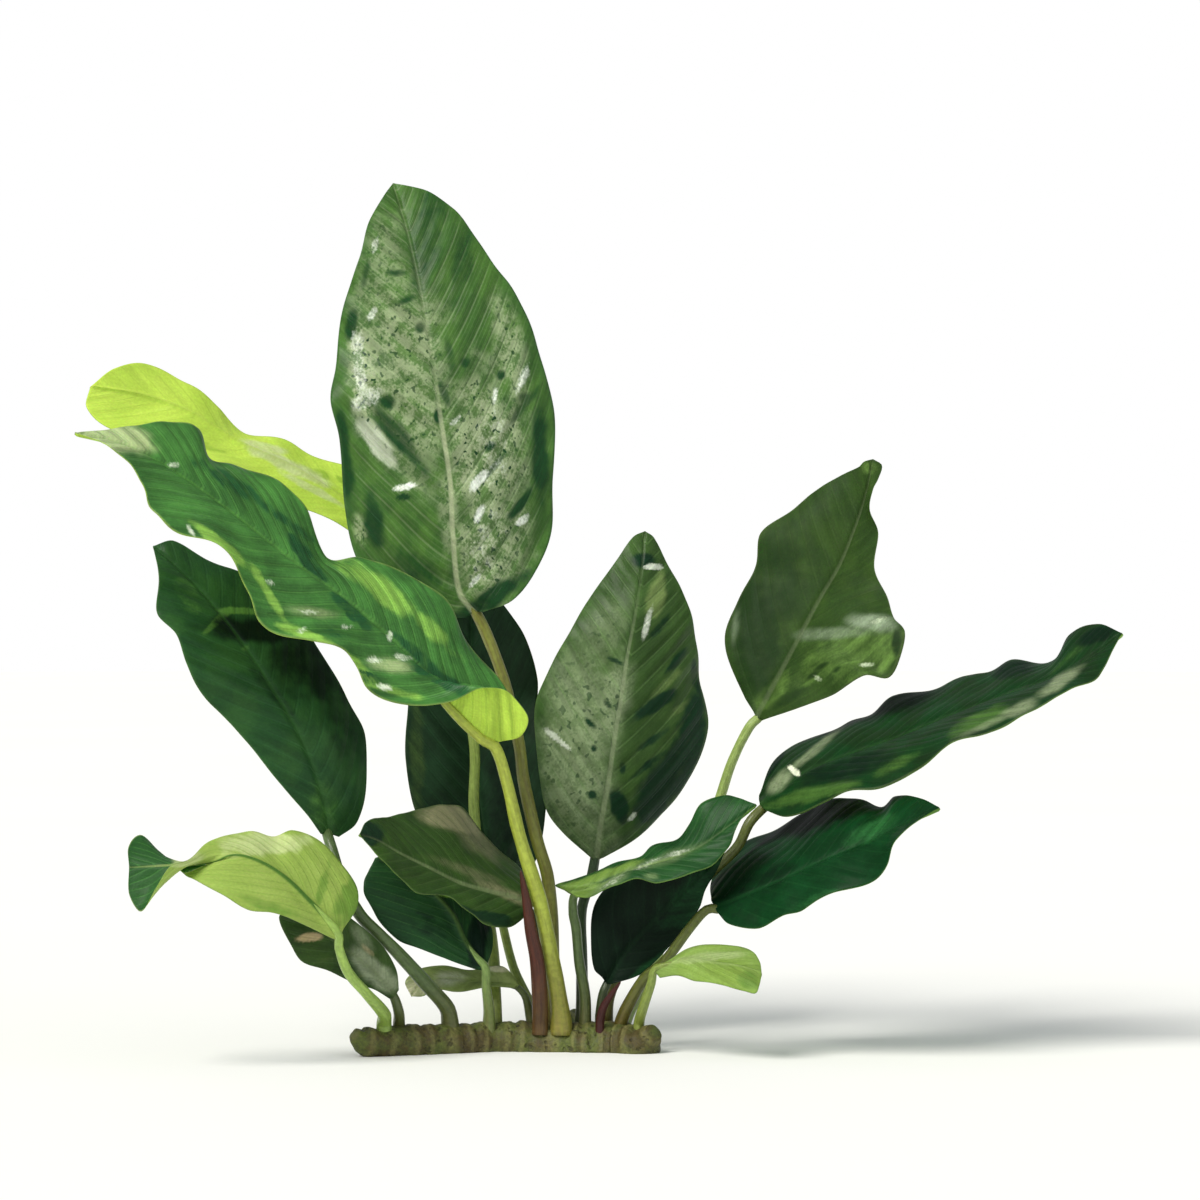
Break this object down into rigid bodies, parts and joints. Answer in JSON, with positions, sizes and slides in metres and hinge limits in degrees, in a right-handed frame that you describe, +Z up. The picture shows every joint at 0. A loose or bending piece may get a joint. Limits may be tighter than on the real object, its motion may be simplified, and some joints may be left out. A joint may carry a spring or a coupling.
{
  "type": "anubias plant",
  "caption": "Broad-leaved water plant: a creeping rhizome cut flat underneath, upright leaf stalks and leathery, wavy green leaf blades that spread to both sides.",
  "frame": {"origin": "on the flat cut underneath the rhizome, in the middle of its thick crown", "axes": "+Z up as the plant grows, +X to the right seen from the front, along the wide spread of the leaves, and -Y towards the front"},
  "size_m": [0.3426, 0.1359, 0.2914],
  "materials": {
    "blade_mid_green": "glossy",
    "blade_sheen_green": "glossy",
    "blade_pale_underside": "satin",
    "blade_dark_green": "glossy",
    "blade_olive": "glossy",
    "blade_shade_green": "glossy",
    "blade_wet_green": "wet gloss",
    "blade_grey_green": "satin",
    "stalk_yellow_green": "satin",
    "stalk_green": "satin",
    "stalk_olive_brown": "satin",
    "sheath_red_brown": "satin",
    "sheath_dark_red": "satin",
    "rhizome_skin": "satin"
  },
  "bodies": {
    "root": {"leaf_arching": "blade_mid_green", "leaf_tall": "blade_sheen_green", "leaf_back_pale": "blade_pale_underside", "leaf_low_pale": "blade_pale_underside", "leaf_curled_pale": "blade_pale_underside", "leaf_left_dark": "blade_dark_green", "leaf_right_long": "blade_dark_green", "leaf_right_low": "blade_dark_green", "leaf_under_dark": "blade_dark_green", "leaf_centre_olive": "blade_olive", "leaf_diamond": "blade_olive", "leaf_right_upper": "blade_olive", "leaf_back_dark": "blade_shade_green", "leaf_shade": "blade_shade_green", "leaf_short_glossy": "blade_wet_green", "leaf_low_grey": "blade_grey_green", "leaf_ground": "blade_grey_green", "stalk_arching": "stalk_yellow_green", "stalk_tall": "stalk_yellow_green", "stalk_low_pale": "stalk_yellow_green", "stalk_back_pale": "stalk_yellow_green", "stalk_curled_pale": "stalk_yellow_green", "stalk_ground": "stalk_yellow_green", "stalk_left_dark": "stalk_green", "stalk_low_grey": "stalk_green", "stalk_back_dark": "stalk_green", "stalk_centre_olive": "stalk_green", "stalk_under_dark": "stalk_green", "stalk_diamond": "stalk_green", "stalk_right_upper": "stalk_green", "stalk_shade": "stalk_green", "stalk_right_long": "stalk_olive_brown", "stalk_right_low": "stalk_olive_brown", "stalk_short_glossy": "stalk_olive_brown", "sheath_red": "sheath_red_brown", "sheath_dark": "sheath_dark_red", "rhizome": "rhizome_skin"}
  },
  "joints": []
}
